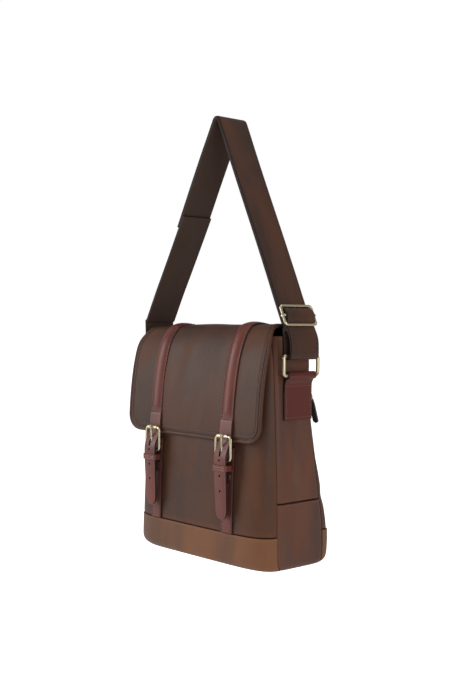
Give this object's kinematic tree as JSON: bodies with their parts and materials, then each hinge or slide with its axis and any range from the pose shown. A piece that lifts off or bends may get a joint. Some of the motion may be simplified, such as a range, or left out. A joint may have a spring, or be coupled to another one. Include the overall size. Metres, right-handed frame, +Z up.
{
  "type": "satchel bag",
  "caption": "Leather satchel with a gusseted body, buckled flap, rear zip pocket and an adjustable shoulder strap hung on rectangular rings.",
  "frame": {"origin": "underside of the shoulder strap's crest, where the bag hangs on a peg or shoulder", "axes": "+Z up, +X to the bag's right as seen from the front (wide side), -Y out of the flap's face"},
  "size_m": [0.2682, 0.1375, 0.5378],
  "materials": {
    "brown_leather": "waxed pull-up leather, satin",
    "tan_leather": "waxed leather, lighter, satin",
    "oxblood_leather": "smooth leather, satin",
    "strap_leather": "smooth leather with dark painted edges",
    "black_leather": "smooth leather",
    "suede_lining": "flesh side, matt",
    "lining_cloth": "plain woven cotton",
    "zip_tape": "woven tape with metal teeth",
    "fibre_board": "stiff fibre board",
    "pale_brass": "polished, pale gold"
  },
  "bodies": {
    "strap": {"shoulder_strap": "strap_leather", "strap_tail_left": "strap_leather", "strap_loop_left": "strap_leather", "strap_loop_right": "strap_leather", "tab_loop_left": "oxblood_leather", "tab_loop_right": "oxblood_leather"},
    "ring_left": {"ring_left": "pale_brass"},
    "ring_right": {"ring_right": "pale_brass"},
    "slider": {"slider_frame": "pale_brass", "slider_center_bar": "pale_brass", "slider_hump": "strap_leather"},
    "case": {"front_panel": "brown_leather", "front_band": "tan_leather", "back_panel": "brown_leather", "back_band": "tan_leather", "gusset_left": "brown_leather", "gusset_right": "brown_leather", "gusset_foot_left": "brown_leather", "gusset_foot_right": "brown_leather", "base_panel": "tan_leather", "base_board": "fibre_board", "lining": "lining_cloth", "rear_pocket_bag": "lining_cloth", "rear_zip_tape": "zip_tape", "front_strap_left": "oxblood_leather", "front_strap_right": "oxblood_leather", "snap_socket_left": "pale_brass", "snap_socket_right": "pale_brass", "tab_patch_left": "oxblood_leather", "tab_patch_right": "oxblood_leather", "flap_yoke": "brown_leather"},
    "zip_slider": {"zip_slider": "pale_brass"},
    "zip_puller": {"zip_puller": "black_leather"},
    "flap_top": {"flap_top_panel": "brown_leather", "flap_top_lining": "suede_lining", "flap_top_binding": "tan_leather", "top_strap_left": "oxblood_leather", "top_strap_right": "oxblood_leather"},
    "flap": {"flap_panel": "brown_leather", "flap_lining": "suede_lining", "flap_binding": "tan_leather", "flap_strap_left": "oxblood_leather", "flap_strap_right": "oxblood_leather"},
    "closure_left": {"tongue_left": "oxblood_leather", "under_tab_left": "oxblood_leather", "keeper_left": "oxblood_leather", "buckle_frame_left": "pale_brass", "snap_stud_left": "pale_brass"},
    "prong_left": {"prong_left": "pale_brass"},
    "roller_left": {"roller_left": "pale_brass"},
    "closure_right": {"tongue_right": "oxblood_leather", "under_tab_right": "oxblood_leather", "keeper_right": "oxblood_leather", "buckle_frame_right": "pale_brass", "snap_stud_right": "pale_brass"},
    "prong_right": {"prong_right": "pale_brass"},
    "roller_right": {"roller_right": "pale_brass"}
  },
  "joints": [
    {"name": "bag_swing", "type": "hinge", "parent": "strap", "child": "case", "pos_m": [-0.0015, 0, -0.3141], "axis": [1, 0, 0], "range_deg": [-30, 30]},
    {"name": "ring_left_tilt", "type": "hinge", "parent": "strap", "child": "ring_left", "pos_m": [-0.1288, 0, -0.3079], "axis": [0, 1, 0], "range_deg": [-4, 4]},
    {"name": "ring_right_tilt", "type": "hinge", "parent": "strap", "child": "ring_right", "pos_m": [0.1258, 0, -0.3079], "axis": [0, 1, 0], "range_deg": [-4, 4]},
    {"name": "strap_adjust", "type": "slide", "parent": "strap", "child": "slider", "axis": [-0.4171, 0, 0.9089], "range_m": [0, 0.1]},
    {"name": "zip_run", "type": "slide", "parent": "case", "child": "zip_slider", "axis": [1, 0, 0], "range_m": [-0.206, 0]},
    {"name": "puller_swing", "type": "hinge", "parent": "zip_slider", "child": "zip_puller", "pos_m": [0.1045, 0.03957, -0.3356], "axis": [1, 0, 0], "range_deg": [-18, 132]},
    {"name": "flap_lift", "type": "hinge", "parent": "case", "child": "flap_top", "pos_m": [-0.0015, 0.0351, -0.2633], "axis": [-1, 0, 0], "range_deg": [0, 9]},
    {"name": "flap_fold", "type": "hinge", "parent": "flap_top", "child": "flap", "pos_m": [-0.0015, -0.0319, -0.2508], "axis": [-1, 0, 0], "range_deg": [0, 130]},
    {"name": "closure_left_lift", "type": "hinge", "parent": "flap", "child": "closure_left", "pos_m": [-0.067, -0.0615, -0.3729], "axis": [-1, 0, 0], "range_deg": [0, 80]},
    {"name": "prong_left_hinge", "type": "hinge", "parent": "closure_left", "child": "prong_left", "pos_m": [-0.067, -0.064, -0.4076], "axis": [1, 0, 0], "range_deg": [0, 10]},
    {"name": "roller_left_spin", "type": "hinge", "parent": "closure_left", "child": "roller_left", "pos_m": [-0.067, -0.064, -0.3796], "axis": [1, 0, 0], "continuous": true},
    {"name": "closure_right_lift", "type": "hinge", "parent": "flap", "child": "closure_right", "pos_m": [0.064, -0.0615, -0.3729], "axis": [-1, 0, 0], "range_deg": [0, 80]},
    {"name": "prong_right_hinge", "type": "hinge", "parent": "closure_right", "child": "prong_right", "pos_m": [0.064, -0.064, -0.4076], "axis": [1, 0, 0], "range_deg": [0, 10]},
    {"name": "roller_right_spin", "type": "hinge", "parent": "closure_right", "child": "roller_right", "pos_m": [0.064, -0.064, -0.3796], "axis": [1, 0, 0], "continuous": true}
  ]
}
